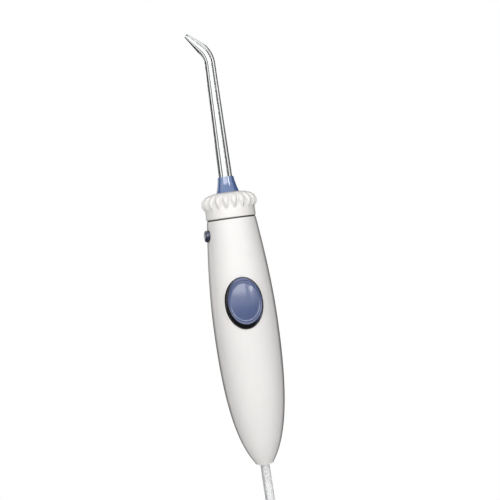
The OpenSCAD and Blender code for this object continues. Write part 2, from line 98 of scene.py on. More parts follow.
# the hose: out of the handle's end, four upright turns and the drop to its connector
hose = {
    "exit": Vector((0, 0, shellLow.z)),
    "diameter": 5.2 * mm,
    "length": 1.15,
    "lead": [(0, 0, 0), (0, 0, -6), (0, -0.5, -11), (0, -2.2, -16), (0, -5.3, -21), (0, -8.4, -26),
             (0, -10.1, -31), (0.6, -10.6, -36), (2.3, -10.6, -41), (4.9, -10.6, -45), (8, -10.6, -48.5),
             (11.1, -10.6, -52), (13.7, -10.6, -56), (15.4, -10.6, -61), (16, -10.6, -68)],
    "turns": 4,
    "foldRadius": 16 * mm,
    "foldTop": -68 * mm,
    "foldBottom": -140 * mm,
    "layer": 5.3 * mm,
    "tailEnd": -168 * mm,
    "runPoints": 6,
    "foldPoints": 12,
}


def hoseRoute(settings):
    points = [Vector(p) * mm for p in settings["lead"]]
    radius = settings["foldRadius"]
    top = settings["foldTop"]
    bottom = settings["foldBottom"]
    y = points[-1].y
    for turn in range(settings["turns"]):
        for i in range(1, settings["runPoints"] + 1):            # down the right side
            points.append(Vector((radius, y, top + (bottom - top) * i / settings["runPoints"])))
        for i in range(1, settings["foldPoints"] + 1):           # round the lower fold
            angle = math.pi * i / settings["foldPoints"]
            points.append(Vector((radius * math.cos(angle), y, bottom - radius * math.sin(angle))))
        for i in range(1, settings["runPoints"] + 1):            # up the left side, into the next layer
            part = i / settings["runPoints"]
            shift = settings["layer"] * (3 - 2 * part) * part * part
            points.append(Vector((-radius, y + shift, bottom + (top - bottom) * part)))
        y += settings["layer"]
        for i in range(1, settings["foldPoints"] + 1):           # over the upper fold
            angle = math.pi * (1 - i / settings["foldPoints"])
            points.append(Vector((radius * math.cos(angle), y, top + radius * math.sin(angle))))
    for i in range(1, 9):
        points.append(Vector((radius, y, top + (settings["tailEnd"] - top) * i / 8)))
    return [settings["exit"] + p for p in points]


def makeHose(settings):
    route = hoseRoute(settings)
    line = bpy.data.curves.new("waterHose", "CURVE")
    line.dimensions = "3D"
    line.resolution_u = 5
    line.bevel_depth = 1                             # times each point's own radius
    line.bevel_resolution = 5
    line.use_fill_caps = True
    spline = line.splines.new("BEZIER")
    spline.bezier_points.add(len(route) - 1)
    for knot, place in zip(spline.bezier_points, route):
        knot.co = place
        knot.radius = settings["diameter"] / 2
        knot.handle_left_type = "AUTO"
        knot.handle_right_type = "AUTO"
    piece = bpy.data.objects.new("waterHose", line)
    scene.collection.objects.link(piece)
    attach(piece, "handle")
    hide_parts("hose_lead", "hose_hank", "hose_tail")
    return piece


waterHose = makeHose(hose)
print("hose laid")


# modelling helpers
def deselect():
    if bpy.context.object and bpy.context.object.mode != "OBJECT":
        bpy.ops.object.mode_set(mode="OBJECT")
    bpy.ops.object.select_all(action="DESELECT")


def selectOnly(piece):
    deselect()
    piece.select_set(True)
    bpy.context.view_layer.objects.active = piece


def startEdit(piece):
    selectOnly(piece)
    bpy.ops.object.mode_set(mode="EDIT")
    bpy.ops.mesh.select_mode(type="VERT")


def selectAll():
    bpy.ops.mesh.select_all(action="SELECT")


def extrudeEdges(step):
    bpy.ops.mesh.extrude_edges_move(TRANSFORM_OT_translate={"value": step})


def endEdit():
    bpy.ops.object.mode_set(mode="OBJECT")


def rename(name):
    piece = bpy.context.object
    piece.name = name
    piece.data.name = name
    return piece


def cleanUp(piece):                 # merges doubles and turns every face outwards
    startEdit(piece)
    selectAll()
    bpy.ops.mesh.remove_doubles(threshold=0.002 * mm)
    bpy.ops.mesh.normals_make_consistent(inside=False)
    endEdit()


def applyModifier(piece, kind, **settings):
    selectOnly(piece)
    modifier = piece.modifiers.new(kind.title(), kind)
    for key, value in settings.items():
        setattr(modifier, key, value)
    bpy.ops.object.modifier_apply(modifier=modifier.name)


def bevelCorners(piece, width, segments=2, angle=50):
    applyModifier(piece, "BEVEL", width=width, segments=segments, limit_method="ANGLE",
                  angle_limit=math.radians(angle), use_clamp_overlap=True)


def applyPlace(piece):
    selectOnly(piece)
    bpy.ops.object.transform_apply(location=True, rotation=True, scale=True)


def smooth(piece, angle=35):
    selectOnly(piece)
    bpy.ops.object.shade_smooth_by_angle(angle=math.radians(angle))


def cut(piece, cutter, how="DIFFERENCE"):
    applyModifier(piece, "BOOLEAN", operation=how, object=cutter, solver="EXACT")
    bpy.data.objects.remove(cutter)


def drawLine(name, points):         # edges from point to point, left selected in edit mode
    deselect()
    bpy.ops.mesh.primitive_plane_add(size=mm)
    piece = rename(name)
    startEdit(piece)
    selectAll()
    bpy.ops.mesh.merge(type="CENTER")
    bpy.ops.transform.translate(value=points[0])
    for here, there in zip(points, points[1:]):
        step = [q - p for p, q in zip(here, there)]
        bpy.ops.mesh.extrude_vertices_move(TRANSFORM_OT_translate={"value": step})
    selectAll()
    return piece


def turned(name, outline, steps, angle=360.0):      # (radius, height) points, spun about Z
    piece = drawLine(name, [(radius, 0, height) for radius, height in outline])
    bpy.ops.mesh.spin(steps=steps, angle=math.radians(angle), center=(0, 0, 0), axis=(0, 0, 1))
    endEdit()
    cleanUp(piece)
    return piece


def bezier(a, b, c, d, t):
    a, b, c, d = (Vector(p) for p in (a, b, c, d))
    s = 1 - t
    return s ** 3 * a + 3 * t * s * s * b + 3 * t * t * s * c + t ** 3 * d


def hand(piece, body, slot, material, *replaced):   # a finished piece takes its finish and its place
    piece.data.materials.clear()
    piece.data.materials.append(material)
    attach(piece, body)
    if replaced:
        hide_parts(*replaced)


# surface effects that several materials share
def groupSocket(group, name, kind, value=None, out=False):
    socket = group.interface.new_socket(
        name=name, in_out="OUTPUT" if out else "INPUT", socket_type="NodeSocket" + kind)
    if value is not None:
        socket.default_value = value


# what each finish below gives for its skin, in this order
skinSockets = ("Color", "Shade Color", "Cloud Scale", "Grain Scale", "Roughness", "Roughness Spread")


def addOperation(tree, kind, operation):
    node = tree.nodes.new("ShaderNode" + kind)
    node.operation = operation
    return node


def addSpan(tree, low, high, lowOut=0, highOut=1):  # maps one range of values to another
    span = tree.nodes.new("ShaderNodeMapRange")
    span.inputs["From Min"].default_value = low
    span.inputs["From Max"].default_value = high
    span.inputs["To Min"].default_value = lowOut
    span.inputs["To Max"].default_value = highOut
    return span


def addBlend(tree, color, other):                   # from a linked colour to a plain one
    blend = tree.nodes.new("ShaderNodeMix")
    blend.data_type = "RGBA"
    blend.inputs["B"].default_value = other
    tree.links.new(color, blend.inputs["A"])
    return blend


def makeMouldedSkin():              # the fine unevenness of moulded plastic or rubber
    group = bpy.data.node_groups.new("mouldedSkin", "ShaderNodeTree")
    for name, value in zip(skinSockets, ((0.8, 0.8, 0.8, 1), (0.7, 0.7, 0.7, 1), 60, 2500, 0.3, 0.08)):
        groupSocket(group, name, "Color" if "Color" in name else "Float", value)
    groupSocket(group, "Color", "Color", out=True)
    groupSocket(group, "Roughness", "Float", out=True)
    groupSocket(group, "Height", "Float", out=True)
    add = group.nodes.new
    link = group.links.new
    given = add("NodeGroupInput")
    made = add("NodeGroupOutput")
    place = add("ShaderNodeTexCoord")
    cloud = add("ShaderNodeTexNoise")
    cloud.inputs["Detail"].default_value = 4
    grain = add("ShaderNodeTexNoise")
    grain.inputs["Detail"].default_value = 3
    tint = add("ShaderNodeMix")
    tint.data_type = "RGBA"
    span = addSpan(group, 0.3, 0.7)
    spread = addOperation(group, "Math", "MULTIPLY_ADD")
    link(place.outputs["Object"], cloud.inputs["Vector"])
    link(place.outputs["Object"], grain.inputs["Vector"])
    link(given.outputs["Cloud Scale"], cloud.inputs["Scale"])
    link(given.outputs["Grain Scale"], grain.inputs["Scale"])
    link(cloud.outputs["Fac"], span.inputs["Value"])
    link(span.outputs["Result"], tint.inputs["Factor"])
    link(given.outputs["Color"], tint.inputs["A"])
    link(given.outputs["Shade Color"], tint.inputs["B"])
    link(grain.outputs["Fac"], spread.inputs[0])
    link(given.outputs["Roughness Spread"], spread.inputs[1])
    link(given.outputs["Roughness"], spread.inputs[2])
    link(tint.outputs["Result"], made.inputs["Color"])
    link(spread.outputs["Value"], made.inputs["Roughness"])
    link(grain.outputs["Fac"], made.inputs["Height"])
    return group


def makeCreaseShade():              # painted shade: darkens grooves and inner corners
    group = bpy.data.node_groups.new("creaseShade", "ShaderNodeTree")
    groupSocket(group, "Color", "Color", (0.8, 0.8, 0.8, 1))
    groupSocket(group, "Crease Color", "Color", (0.4, 0.4, 0.4, 1))
    groupSocket(group, "Color", "Color", out=True)
    add = group.nodes.new
    link = group.links.new
    given = add("NodeGroupInput")
    made = add("NodeGroupOutput")
    hollow = add("ShaderNodeAmbientOcclusion")
    hollow.samples = 8
    hollow.inputs["Distance"].default_value = 2.5 * mm
    span = addSpan(group, 0.35, 0.85)
    tint = add("ShaderNodeMix")
    tint.data_type = "RGBA"
    link(hollow.outputs["AO"], span.inputs["Value"])
    link(span.outputs["Result"], tint.inputs["Factor"])
    link(given.outputs["Crease Color"], tint.inputs["A"])
    link(given.outputs["Color"], tint.inputs["B"])
    link(tint.outputs["Result"], made.inputs["Color"])
    return group


mouldedSkin = makeMouldedSkin()
creaseShade = makeCreaseShade()
# painted shade colour that an oval's lower left slope takes
slopeShadeBlack = (0.004, 0.004, 0.006, 1)
slopeStart = (0.99, 1.03)           # where an oval's outer slope begins, as a share of the oval
turnedAway = (0.25, 0.6)            # how far right or down a side faces, from the weak painted rim shade to the full one
bumpDepth = 0.05 * mm


# painted shade in grooves and inner corners, over the given colour
def addCreaseShade(tree, color, creaseColor):
    crease = tree.nodes.new("ShaderNodeGroup")
    crease.node_tree = creaseShade
    crease.inputs["Crease Color"].default_value = creaseColor
    tree.links.new(color, crease.inputs["Color"])
    return crease.outputs["Color"]


def addSlopeShade(tree, color, shader, oval):       # painted shade: an oval's outer slope goes black on its lower left side, and its coat fades there
    link = tree.links.new
    place = tree.nodes.new("ShaderNodeTexCoord")
    fitted = tree.nodes.new("ShaderNodeMapping")
    fitted.inputs["Scale"].default_value = (1 / oval["across"], 0, 1 / oval["along"])
    fitted.inputs["Location"].default_value = (-oval["x"] / oval["across"], 0, -oval["z"] / oval["along"])
    reach = addOperation(tree, "VectorMath", "LENGTH")
    beyond = addSpan(tree, *slopeStart)
    heading = addOperation(tree, "VectorMath", "NORMALIZE")
    away = addOperation(tree, "VectorMath", "DOT_PRODUCT")
    away.inputs[1].default_value = oval["side"]
    sideways = addSpan(tree, *oval["fade"])
    depth = addOperation(tree, "Math", "MULTIPLY")
    shade = addBlend(tree, color, slopeShadeBlack)
    gloss = addSpan(tree, 0, 1, 1, 0)
    link(place.outputs["Object"], fitted.inputs["Vector"])
    link(fitted.outputs["Vector"], reach.inputs[0])
    link(reach.outputs["Value"], beyond.inputs["Value"])
    link(fitted.outputs["Vector"], heading.inputs[0])
    link(heading.outputs["Vector"], away.inputs[0])
    link(away.outputs["Value"], sideways.inputs["Value"])
    link(beyond.outputs["Result"], depth.inputs[0])
    link(sideways.outputs["Result"], depth.inputs[1])
    link(depth.outputs["Value"], shade.inputs["Factor"])
    link(depth.outputs["Value"], gloss.inputs["Value"])
    link(gloss.outputs["Result"], shader.inputs["Coat Weight"])
    return shade.outputs["Result"]


def weakerAway(tree, strength, least):              # the painted rim shade is weaker on the sides that face left or up
    link = tree.links.new
    around = tree.nodes.new("ShaderNodeTexCoord")
    parts = tree.nodes.new("ShaderNodeSeparateXYZ")
    down = addOperation(tree, "Math", "MULTIPLY")
    down.inputs[1].default_value = -1
    either = addOperation(tree, "Math", "MAXIMUM")
    weight = addSpan(tree, *turnedAway, least)
    both = addOperation(tree, "Math", "MULTIPLY")
    link(around.outputs["Normal"], parts.inputs["Vector"])
    link(parts.outputs["Z"], down.inputs[0])
    link(parts.outputs["X"], either.inputs[0])
    link(down.outputs["Value"], either.inputs[1])
    link(either.outputs["Value"], weight.inputs["Value"])
    link(strength, both.inputs[0])
    link(weight.outputs["Result"], both.inputs[1])
    return both.outputs["Value"]


def addRimShade(tree, color, settings):                  # painted shade: the thin darker line along the outline, where the surface turns away from view
    facing = tree.nodes.new("ShaderNodeLayerWeight")
    facing.inputs["Blend"].default_value = 0.5
    edge = addSpan(tree, *settings["rimShadeSpan"])
    tree.links.new(facing.outputs["Facing"], edge.inputs["Value"])
    strength = edge.outputs["Result"]
    if "rimShadeAway" in settings:
        strength = weakerAway(tree, strength, settings["rimShadeAway"])
    rim = addBlend(tree, color, settings["rim"])
    tree.links.new(strength, rim.inputs["Factor"])
    return rim.outputs["Result"]


def moulded(name, settings):        # a Principled material with the shared skin and the extras it names, painted crease, slope and rim shade among them
    material = bpy.data.materials.new(name)
    material.use_nodes = True
    tree = material.node_tree
    shader = tree.nodes["Principled BSDF"]
    for socket, value in settings.get("shader", {}).items():
        shader.inputs[socket].default_value = value
    skin = tree.nodes.new("ShaderNodeGroup")
    skin.node_tree = mouldedSkin
    for socket, value in zip(skinSockets, settings["skin"]):
        skin.inputs[socket].default_value = value
    bump = tree.nodes.new("ShaderNodeBump")
    bump.inputs["Strength"].default_value = settings["bump"]
    bump.inputs["Distance"].default_value = bumpDepth
    color = skin.outputs["Color"]
    if "crease" in settings:
        color = addCreaseShade(tree, color, settings["crease"])
    if "shaded" in settings:
        color = addSlopeShade(tree, color, shader, settings["shaded"])
    if "rim" in settings:
        color = addRimShade(tree, color, settings)
    tree.links.new(color, shader.inputs["Base Color"])
    tree.links.new(skin.outputs["Roughness"], shader.inputs["Roughness"])
    tree.links.new(skin.outputs["Height"], bump.inputs["Height"])
    tree.links.new(bump.outputs["Normal"], shader.inputs["Normal"])
    return material


whiteShell = moulded("whiteShell", {
    "skin": ((0.88, 0.865, 0.85, 1), (0.855, 0.84, 0.83, 1), 35, 1800, 0.36, 0.1),
    "shader": {"IOR": 1.46},
    # painted shade: a darker line along the outline
    "rim": (0.05, 0.047, 0.045, 1), "rimShadeSpan": (0.62, 0.88), "bump": 0.06})
whiteCollar = moulded("whiteCollar", {
    "skin": ((0.90, 0.885, 0.86, 1), (0.875, 0.86, 0.84, 1), 60, 1800, 0.34, 0.1),
    "shader": {"IOR": 1.5},
    # painted shade in the flutes and a painted shade line along the outline
    "crease": (0.62, 0.6, 0.59, 1), "rim": (0.25, 0.24, 0.23, 1), "rimShadeSpan": (0.66, 0.98), "bump": 0.08})
buttonBlue = moulded("buttonBlue", {
    "skin": ((0.096, 0.13, 0.27, 1), (0.085, 0.117, 0.247, 1), 120, 2600, 0.24, 0.1),
    "shader": {"IOR": 1.52, "Coat Weight": 1.0, "Coat Roughness": 0.16},
    # painted shade: the rim's outer slope goes black on its lower left side
    "shaded": {"x": 0.4 * mm, "z": 22.45 * mm, "across": 8.9 * mm, "along": 11.95 * mm,
               "side": (-0.78, 0, -0.62), "fade": (-0.35, 0.3)}, "bump": 0.05})
buttonNavy = moulded("buttonNavy", {
    "skin": ((0.028, 0.035, 0.075, 1), (0.022, 0.028, 0.062, 1), 120, 2600, 0.22, 0.1),
    "shader": {"IOR": 1.5, "Coat Weight": 1.0, "Coat Roughness": 0.1},
    "bump": 0.05})
footBlue = moulded("footBlue", {
    "skin": ((0.145, 0.25, 0.53, 1), (0.125, 0.225, 0.5, 1), 200, 2600, 0.05, 0.06),
    "shader": {"IOR": 1.52, "Transmission Weight": 0.3, "Coat Weight": 1.0, "Coat Roughness": 0.03,
               "Coat IOR": 1.7},
    "bump": 0.03})
clearPlastic = moulded("clearPlastic", {
    "skin": ((0.97, 0.985, 0.985, 1), (0.95, 0.97, 0.975, 1), 80, 90, 0.0, 0.02),
    "shader": {"IOR": 1.5, "Transmission Weight": 1.0},
    # painted shade: near-black edge lines, strongest on the sides that face right or down
    "rim": (0.008, 0.007, 0.008, 1), "rimShadeSpan": (0.2, 0.42), "rimShadeAway": 0.2, "bump": 0.004})
naturalPlastic = moulded("naturalPlastic", {
    "skin": ((0.66, 0.65, 0.6, 1), (0.58, 0.57, 0.52, 1), 150, 1500, 0.42, 0.15),
    "shader": {"Subsurface Weight": 0.1, "Subsurface Radius": (1.5 * mm, 1.3 * mm, 1 * mm),
               "Subsurface Scale": 1.0},
    # painted shade in creases
    "crease": (0.3, 0.29, 0.27, 1), "bump": 0.2})
sealRubber = moulded("sealRubber", {
    "skin": ((0.022, 0.022, 0.024, 1), (0.04, 0.04, 0.042, 1), 260, 3200, 0.5, 0.2),
    "bump": 0.3})
hoseVinyl = moulded("hoseVinyl", {
    "skin": ((0.95, 0.955, 0.96, 1), (0.92, 0.925, 0.94, 1), 90, 1400, 0.2, 0.12),
    "shader": {"IOR": 1.42, "Transmission Weight": 0.55, "Subsurface Weight": 0.2,
               "Subsurface Radius": (2 * mm, 2 * mm, 2.2 * mm), "Subsurface Scale": 1.0},
    "bump": 0.06})
springSteel = moulded("springSteel", {
    "skin": ((0.55, 0.55, 0.56, 1), (0.45, 0.45, 0.46, 1), 300, 4000, 0.22, 0.2),
    "shader": {"Metallic": 1.0},
    "bump": 0.15})


def makeStrapWeave():               # the threads and fuzz of a woven band
    material = bpy.data.materials.new("strapWeave")
    material.use_nodes = True
    tree = material.node_tree
    shader = tree.nodes["Principled BSDF"]
    shader.inputs["Sheen Weight"].default_value = 0.4
    place = tree.nodes.new("ShaderNodeTexCoord")
    threads = tree.nodes.new("ShaderNodeTexVoronoi")
    threads.inputs["Scale"].default_value = 1900
    threads.inputs["Randomness"].default_value = 0.35
    fuzz = tree.nodes.new("ShaderNodeTexNoise")
    fuzz.inputs["Scale"].default_value = 700
    fuzz.inputs["Detail"].default_value = 6
    dark = tree.nodes.new("ShaderNodeMix")
    dark.data_type = "RGBA"
    dark.inputs["A"].default_value = (0.80, 0.81, 0.83, 1)
    dark.inputs["B"].default_value = (0.56, 0.57, 0.60, 1)
    rough = addSpan(tree, 0, 1, 0.7, 0.95)
    height = addOperation(tree, "Math", "SUBTRACT")
    bump = tree.nodes.new("ShaderNodeBump")
    bump.inputs["Strength"].default_value = 0.8
    bump.inputs["Distance"].default_value = 0.15 * mm
    link = tree.links.new
    link(place.outputs["Object"], threads.inputs["Vector"])
    link(place.outputs["Object"], fuzz.inputs["Vector"])
    link(threads.outputs["Distance"], dark.inputs["Factor"])
    link(fuzz.outputs["Fac"], rough.inputs["Value"])
    link(fuzz.outputs["Fac"], height.inputs[0])
    link(threads.outputs["Distance"], height.inputs[1])
    link(dark.outputs["Result"], shader.inputs["Base Color"])
    link(rough.outputs["Result"], shader.inputs["Roughness"])
    link(height.outputs["Value"], bump.inputs["Height"])
    link(bump.outputs["Normal"], shader.inputs["Normal"])
    return material


strapWeave = makeStrapWeave()
waterHose.data.materials.append(hoseVinyl)
print("materials made")

# handle shells
shellShape = {
    "topRadius": 13.7 * mm,
    "bellyRadius": shellHigh.x,
    "bellyHeight": 6 * mm,
    "endRadius": 4.8 * mm,
    "neckHole": 8 * mm,
    "endHole": 3.6 * mm,
    "wall": 2 * mm,
    "seamBevel": 0.12 * mm,
    "outlineSteps": 46,
    "aroundSteps": 96,
}
buttonShape = {
    "across": 10.1 * mm,
    "along": 13.8 * mm,
    "height": 21.6 * mm,
    "windowGap": 0.35 * mm,
}
ejectShape = {
    "radius": 3.3 * mm,
    "turn": 75,                     # degrees round from the pause button
    "height": 59.7 * mm,
    "gap": 0.18 * mm,
}
ejectOut = outward(ejectShape["turn"])


def shellOutline(shape):            # from the neck hole, over the outside, to the hole at the lower end
    top = shellHigh.z
    bottom = shellLow.z
    belly = shape["bellyHeight"]
    topR = shape["topRadius"]
    bellyR = shape["bellyRadius"]
    endR = shape["endRadius"]
    neckReach = 0.325 * (top - belly)
    bellyReach = 0.36 * (top - belly)
    flankReach = 0.395 * (belly - bottom)
    tailReach = 0.2 * (belly - bottom)
    steps = shape["outlineSteps"]
    upper = [bezier((topR, top), (topR + 0.12 * neckReach, top - neckReach),
                    (bellyR, belly + bellyReach), (bellyR, belly), i / steps) for i in range(steps + 1)]
    lower = [bezier((bellyR, belly), (bellyR, belly - flankReach),
                    (endR + 11.2 * mm, bottom + tailReach), (endR, bottom), i / steps)
             for i in range(1, steps + 1)]
    lip = 0.35 * mm
    outline = [(shape["neckHole"], top), (topR - lip, top), (topR - 0.3 * lip, top - 0.3 * lip)]
    outline += [(p.x, p.y) for p in upper + lower if bottom + 0.2 * mm < p.y < top - 0.9 * lip]
    outline += [(endR + 0.35 * mm, bottom + 0.1 * mm), (endR, bottom), (shape["endHole"], bottom)]
    return outline


def ovalCutter():
    deselect()
    bpy.ops.mesh.primitive_cylinder_add(
        vertices=144, radius=1, depth=14 * mm, rotation=(math.pi / 2, 0, 0),
        location=(0, -19 * mm, buttonShape["height"]))
    cutter = bpy.context.object
    gap = buttonShape["windowGap"]
    cutter.scale = (buttonShape["across"] + gap, buttonShape["along"] + gap, 1)
    applyPlace(cutter)
    return cutter


def roundCutter():
    deselect()
    bpy.ops.mesh.primitive_cylinder_add(
        vertices=64, radius=ejectShape["radius"] + ejectShape["gap"], depth=9 * mm)
    cutter = bpy.context.object
    cutter.rotation_euler = ejectOut.to_track_quat("Z", "Y").to_euler()
    cutter.location = ejectOut * 14 * mm + Vector((0, 0, ejectShape["height"]))
    applyPlace(cutter)
    return cutter


def makeShell(name, side, node):    # side -1 is the front half and 1 the rear half
    shape = shellShape
    piece = turned(name, shellOutline(shape), shape["aroundSteps"], -side * 180)
    middle = piece.data.polygons[len(piece.data.polygons) // 2]
    if middle.normal.dot(Vector((middle.center.x, middle.center.y, 0))) < 0:
        startEdit(piece)
        selectAll()
        bpy.ops.mesh.flip_normals()
        endEdit()
    applyModifier(piece, "SOLIDIFY", thickness=shape["wall"], offset=-1, use_even_offset=True)
    if side < 0:
        cut(piece, ovalCutter())
    cut(piece, roundCutter())
    bevelCorners(piece, shape["seamBevel"])
    smooth(piece, 40)
    applyModifier(piece, "WEIGHTED_NORMAL", keep_sharp=True)
    hand(piece, "handle", "white_shell", whiteShell, node)


makeShell("handleFront", -1, "front_shell")
makeShell("handleRear", 1, "rear_shell")
print("shells made")

# turning collar
collarShape = {
    "flutes": 20,
    "columns": 8,                   # columns of faces for each flute
    "hexRadius": 6.12 * mm,
    "hexDepth": 3.2 * mm,
    "neck": 7.45 * mm,
    "neckTop": 10.4 * mm,
    # radius and height above the lower rim, from the hollow round the outside to the top
    "skirt": [(11.9, 5.0), (11.9, 1.0), (11.95, 0.2), (12.15, 0.0), (13.3, 0.0), (13.65, 0.1), (13.85, 0.4),
              (13.9, 1.4), (13.85, 3.4)],
    "crown": [(13.85, 4.9), (14.4, 5.4), (15.2, 6.3), (15.7, 7.5), (15.75, 8.8), (15.35, 10.3), (14.5, 11.6),
              (13.2, 12.7), (11.4, 13.5)],
    "top": [(9.4, 14.05), (7.9, 14.3), (6.9, 14.4), (4.0, 14.4)],
    # how far each crown ring is pulled in at the flute's middle, and the flute's share of the ring
    "fluteFloor": [13.85, 13.75, 13.7, 13.7, 13.65, 13.5, 13.2, 12.55, 11.2],
    "fluteWidth": [1.0, 0.92, 0.78, 0.62, 0.48, 0.36, 0.26, 0.18, 0.14],
    "softness": 0.24,
}


def selectWhere(piece, test, *values):
    mesh = bmesh.from_edit_mesh(piece.data)
    for vertex in mesh.verts:
        vertex.select = test(vertex.co, *values)
    mesh.select_flush_mode()
    bmesh.update_edit_mesh(piece.data)


def onColumn(place, radius, height, offset, pitch):     # offset is 0 in the flute and 1 on the petal
    if abs(place.z - height) > 0.02 * mm or place.xy.length < radius - 0.1 * mm:
        return False
    around = math.degrees(math.atan2(place.y, place.x)) % pitch
    return abs(min(around, pitch - around) - offset * pitch / 2) < 0.3


def makeCollar():
    shape = collarShape
    base = collarLow.z
    outline = [(r * mm, base + z * mm) for r, z in shape["skirt"] + shape["crown"] + shape["top"]]
    inner = [(4 * mm, base + shape["neckTop"]), (shape["neck"], base + shape["neckTop"]),
             (shape["neck"], base + 5 * mm)]
    piece = turned("fluteCollar", outline + inner + outline[:1], shape["flutes"] * shape["columns"])
    pitch = 360 / shape["flutes"]
    startEdit(piece)
    for (r, z), floor, width in zip(shape["crown"], shape["fluteFloor"], shape["fluteWidth"]):
        for column in range(shape["columns"] // 2 + 1):
            offset = column * 2 / shape["columns"]
            depth = (width + shape["softness"] - offset) / (2 * shape["softness"])
            depth = min(1, max(0, depth))
            depth = depth * depth * (3 - 2 * depth)
            pull = 1 - depth * (1 - floor / r)
            if pull > 0.9999:
                continue
            selectWhere(piece, onColumn, r * mm, base + z * mm, offset, pitch)
            bpy.ops.transform.resize(value=(pull, pull, 1), center_override=(0, 0, base + z * mm))
    endEdit()
    applyModifier(piece, "SUBSURF", levels=2, render_levels=2)
    deselect()
    bpy.ops.mesh.primitive_cylinder_add(vertices=6, radius=shape["hexRadius"], depth=2 * shape["hexDepth"],
                                        location=(0, 0, collarHigh.z), rotation=(0, 0, math.pi / 6))
    cutter = bpy.context.object
    applyPlace(cutter)
    cut(piece, cutter)
    smooth(piece, 50)
    hand(piece, "collar", "white_collar", whiteCollar, "turning_collar")


makeCollar()
print("collar made")

# clear jet tip and its blue foot
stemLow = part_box("jet_tip")[0]
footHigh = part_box("jet_tip_foot")[1]
ejectLow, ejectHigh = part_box("eject_button")
tipShape = {
    "stem": 3.1 * mm,
    "groove": 2.5 * mm,
    "grooveHalf": 0.65 * mm,
    "foot": 3.9 * mm,
    "bend": 3.0 * mm,
    "end": 1.25 * mm,
    "bendTop": 154.4 * mm,          # height where the straight tube starts to bend
    "bendRadius": 13 * mm,
    "bendAngle": 43,
    "leg": 11.1 * mm,
    "bore": 1.7 * mm,
    "boreBend": 1.19 * mm,
    "boreEnd": 0.5 * mm,
    "facets": 160,
    "bendSteps": 28,
    "legSteps": 6,
    "tubeSteps": 8,
}
footShape = {
    "keyRadius": 5.98 * mm,
    "keyDepth": 3 * mm,
    "base": 6.5 * mm,
    "top": 4.5 * mm,
    "slack": 0.02 * mm,             # between the foot and the tube in it
    "sunk": 0.5 * mm,               # how far the foot reaches into its key
    "inKey": 0.9 * mm,
    "steps": 14,
}


def onRing(place, radius, height):
    return abs(place.z - height) < 0.01 * mm and abs(place.xy.length - radius) < 0.05 * mm


def sweepRing(piece, radius, endRadius, shape):     # carries a ring round the bend and down the tapered leg
    selectWhere(piece, onRing, radius, shape["bendTop"])
    bpy.ops.mesh.spin(steps=shape["bendSteps"], angle=math.radians(shape["bendAngle"]),
                      center=(-shape["bendRadius"], 0, shape["bendTop"]), axis=(0, 1, 0))
    angle = math.radians(shape["bendAngle"])
    along = Vector((-math.sin(angle), 0, math.cos(angle)))
    middle = Vector((-shape["bendRadius"] * (1 - math.cos(angle)), 0,
                     shape["bendTop"] + shape["bendRadius"] * math.sin(angle)))
    steps = shape["legSteps"]
    size = radius
    for i in range(1, steps + 1):
        extrudeEdges(along * shape["leg"] / steps)
        middle = middle + along * shape["leg"] / steps
        newSize = radius + (endRadius - radius) * i / steps
        bpy.ops.transform.resize(value=(newSize / size,) * 3, center_override=middle)
        size = newSize


def makeTip():
    shape = tipShape
    low = stemLow.z
    groove = (ejectLow.z + ejectHigh.z) / 2
    lift = collarHigh.z
    bore = shape["bore"]
    stem = shape["stem"]
    floor = shape["groove"]
    half = shape["grooveHalf"]
    steps = shape["tubeSteps"]
    outline = [(shape["boreBend"], shape["bendTop"]), (bore, lift), (bore, low + 0.3 * mm),
               (bore + 0.3 * mm, low), (stem - 0.5 * mm, low), (stem, low + 0.6 * mm),
               (stem, groove - half), (floor, groove - half), (floor, groove + half), (stem, groove + half),
               (stem, lift), (shape["foot"], lift)]
    outline += [(shape["foot"] + (shape["bend"] - shape["foot"]) * i / steps,
                 lift + (shape["bendTop"] - lift) * i / steps) for i in range(1, steps + 1)]
    piece = turned("clearTip", outline, shape["facets"])
    startEdit(piece)
    for radius, endRadius in ((shape["bend"], shape["end"]), (shape["boreBend"], shape["boreEnd"])):
        sweepRing(piece, radius, endRadius, shape)
    bpy.ops.mesh.select_all(action="DESELECT")
    bpy.ops.mesh.select_non_manifold()
    bpy.ops.mesh.bridge_edge_loops()
    endEdit()
    cleanUp(piece)
    bevelCorners(piece, 0.12 * mm)
    smooth(piece, 40)
    hand(piece, "jet", "clear_tip", clearPlastic, "jet_tip")


def makeFoot():
    shape = footShape
    lift = collarHigh.z
    rise = footHigh.z - lift
    slack = shape["slack"]
    steps = shape["steps"]
    outer = [bezier((shape["base"], lift), (shape["base"] - 0.8 * mm, lift + 2.4 * mm),
                    (shape["top"] + 0.35 * mm, lift + 0.6 * rise), (shape["top"], lift + rise), i / steps)
             for i in range(1, steps + 1)]
    outline = [(tipShape["stem"] + slack, lift - shape["sunk"]),
               (shape["keyRadius"] - shape["inKey"], lift - shape["sunk"]),
               (shape["keyRadius"] - shape["inKey"], lift), (shape["base"], lift)]
    outline += [(p.x, p.y) for p in outer]
    outline += [(tipShape["foot"] + slack, lift + rise), (tipShape["foot"] + slack, lift + slack),
                (tipShape["stem"] + slack, lift + slack)]
    piece = turned("blueFoot", outline + outline[:1], 72)
    deselect()
    bpy.ops.mesh.primitive_cylinder_add(vertices=6, radius=shape["keyRadius"], depth=shape["keyDepth"],
                                        location=(0, 0, lift - shape["keyDepth"] / 2),
                                        rotation=(0, 0, math.pi / 6))
    key = bpy.context.object
    applyPlace(key)
    applyModifier(key, "BEVEL", width=0.25 * mm, segments=2)
    deselect()
    bpy.ops.mesh.primitive_cylinder_add(vertices=64, radius=tipShape["stem"] + slack,
                                        depth=2 * shape["keyDepth"],
                                        location=(0, 0, lift - shape["keyDepth"]))
    bore = bpy.context.object
    applyPlace(bore)
    cut(key, bore)
    cut(piece, key, "UNION")
    bevelCorners(piece, 0.2 * mm, 3, 55)
    smooth(piece, 35)
    hand(piece, "jet", "blue_foot", footBlue, "jet_tip_foot")


makeTip()
makeFoot()
print("jet tip made")

